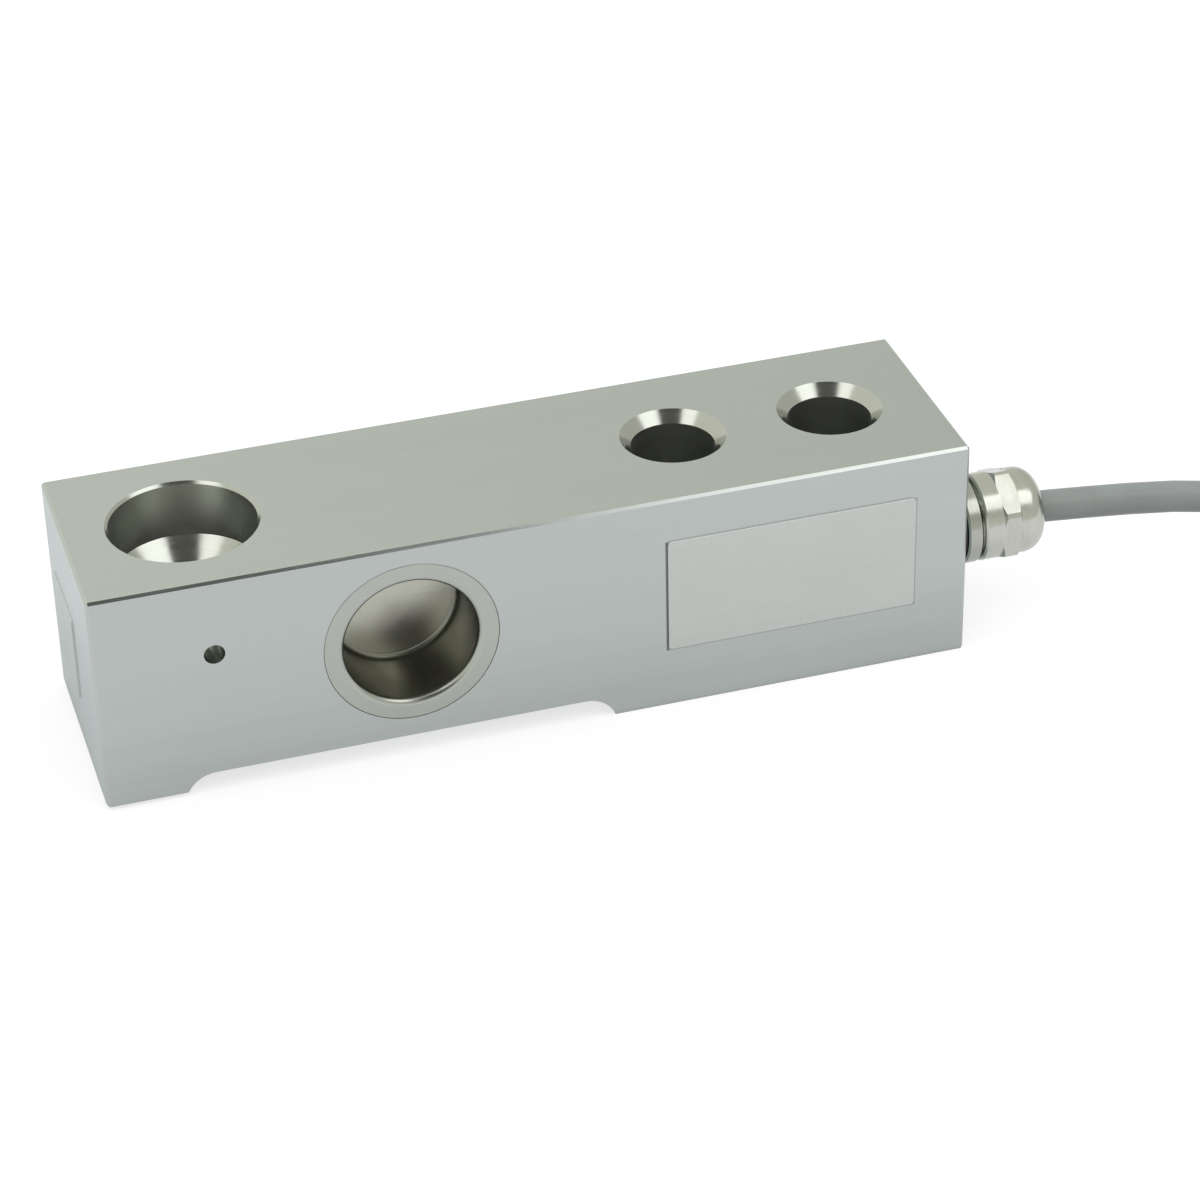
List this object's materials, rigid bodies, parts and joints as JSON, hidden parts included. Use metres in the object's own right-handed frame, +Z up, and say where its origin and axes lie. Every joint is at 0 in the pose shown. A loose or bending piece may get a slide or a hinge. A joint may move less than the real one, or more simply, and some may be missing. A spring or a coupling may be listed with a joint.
{
  "type": "shear beam load cell",
  "caption": "Rectangular steel shear beam load cell with a conical load seat, countersunk mounting holes, welded gauge cups in both sides and a cable gland with its tied cable.",
  "frame": {"origin": "on the mounting face, midway between the two mounting holes", "axes": "+X along the beam towards the cable end, -Y out of the face with the name plate, +Z up against the load"},
  "size_m": [0.3344, 0.0452, 0.0365],
  "materials": {
    "beam_steel": "satin plated, faint lengthwise grinding marks",
    "cup_steel": "drawn stainless sheet, satin",
    "plate_aluminium": "fine matte, bare",
    "gland_nickel": "bright nickel plate",
    "gland_rubber": "matte",
    "claw_plastic": "matte",
    "cable_jacket": "satin extruded jacket",
    "tie_plastic": "satin",
    "sleeve_plastic": "shrunk sleeve, satin",
    "gauge_film": "clear amber film",
    "board_green": "lacquered board",
    "resistor_dark": "fired",
    "lead_copper": "enamelled copper",
    "potting": "cast resin",
    "red_insulation": "smooth",
    "black_insulation": "smooth",
    "green_insulation": "smooth",
    "white_insulation": "smooth",
    "tinned_copper": "tinned"
  },
  "bodies": {
    "root": {"beam_body": "beam_steel", "front_cup": "cup_steel", "back_cup": "cup_steel", "name_plate": "plate_aluminium", "end_plate": "plate_aluminium", "gland_body": "gland_nickel", "gland_nut": "gland_nickel", "gland_seal": "gland_rubber", "gland_insert": "gland_rubber", "gland_claw": "claw_plastic", "cable_run": "cable_jacket", "cable_hank": "cable_jacket", "cable_tie": "tie_plastic", "lead_sleeve": "sleeve_plastic", "front_gauge": "gauge_film", "back_gauge": "gauge_film", "terminal_board": "board_green", "compensation_resistors": "resistor_dark", "front_gauge_leads": "lead_copper", "back_gauge_leads": "lead_copper", "entry_seal": "potting", "red_wire": "red_insulation", "red_lead": "red_insulation", "black_wire": "black_insulation", "black_lead": "black_insulation", "green_wire": "green_insulation", "green_lead": "green_insulation", "white_wire": "white_insulation", "white_lead": "white_insulation", "lead_tips": "tinned_copper", "drain_wire": "tinned_copper"}
  },
  "joints": []
}
